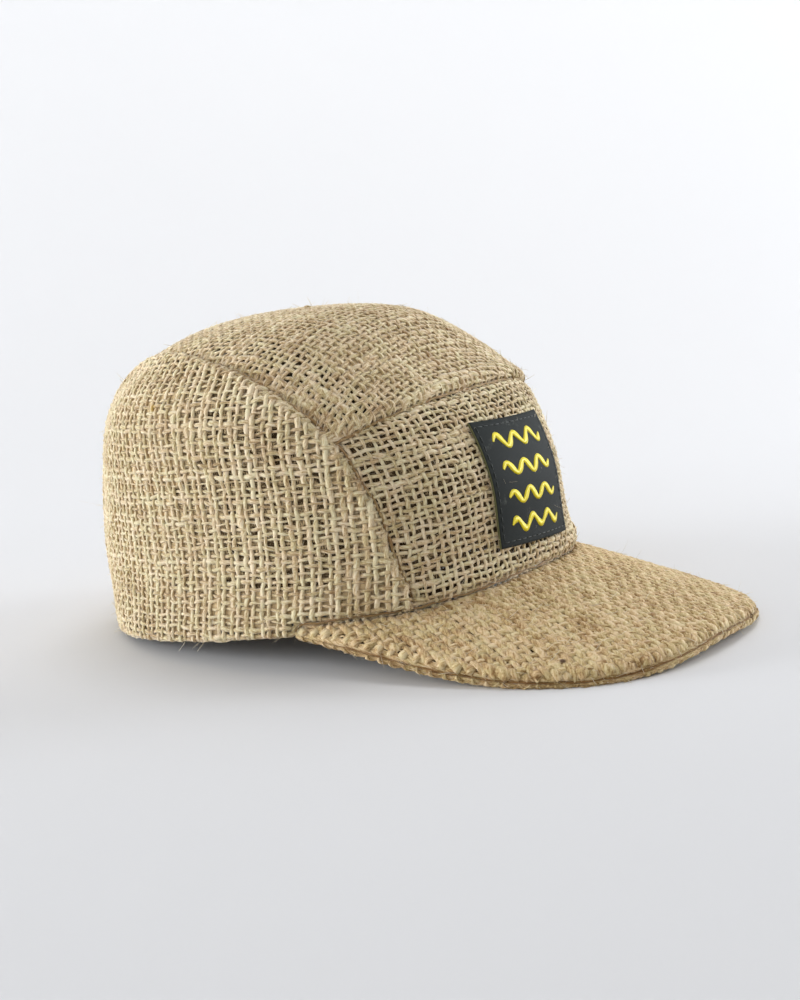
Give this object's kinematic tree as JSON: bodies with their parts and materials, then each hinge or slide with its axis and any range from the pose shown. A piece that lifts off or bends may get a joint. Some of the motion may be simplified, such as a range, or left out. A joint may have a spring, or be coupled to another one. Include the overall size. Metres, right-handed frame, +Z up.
{
  "type": "five-panel cap",
  "caption": "Five-panel cap of coarse jute cloth with a flat dark patch on the front panel and a stiff, slightly arched peak covered in denser jute.",
  "frame": {"origin": "on the surface that the cap stands on, under the middle of its bounding box", "axes": "+Z up, -Y forward along the peak, -X to the wearer's right"},
  "size_m": [0.178, 0.2866, 0.1316],
  "materials": {
    "burlap": "coarse open plain weave of natural jute, matt",
    "dense_burlap": "close plain weave of natural jute, matt",
    "patch": "thin dark green-black painted patch, slightly scuffed"
  },
  "bodies": {
    "root": {"front_panel": "burlap", "top_panel": "burlap", "side_panel_right": "burlap", "side_panel_left": "burlap", "rim_hem": "burlap", "peak_upper": "dense_burlap", "peak_lower": "dense_burlap", "front_label": "patch"}
  },
  "joints": []
}
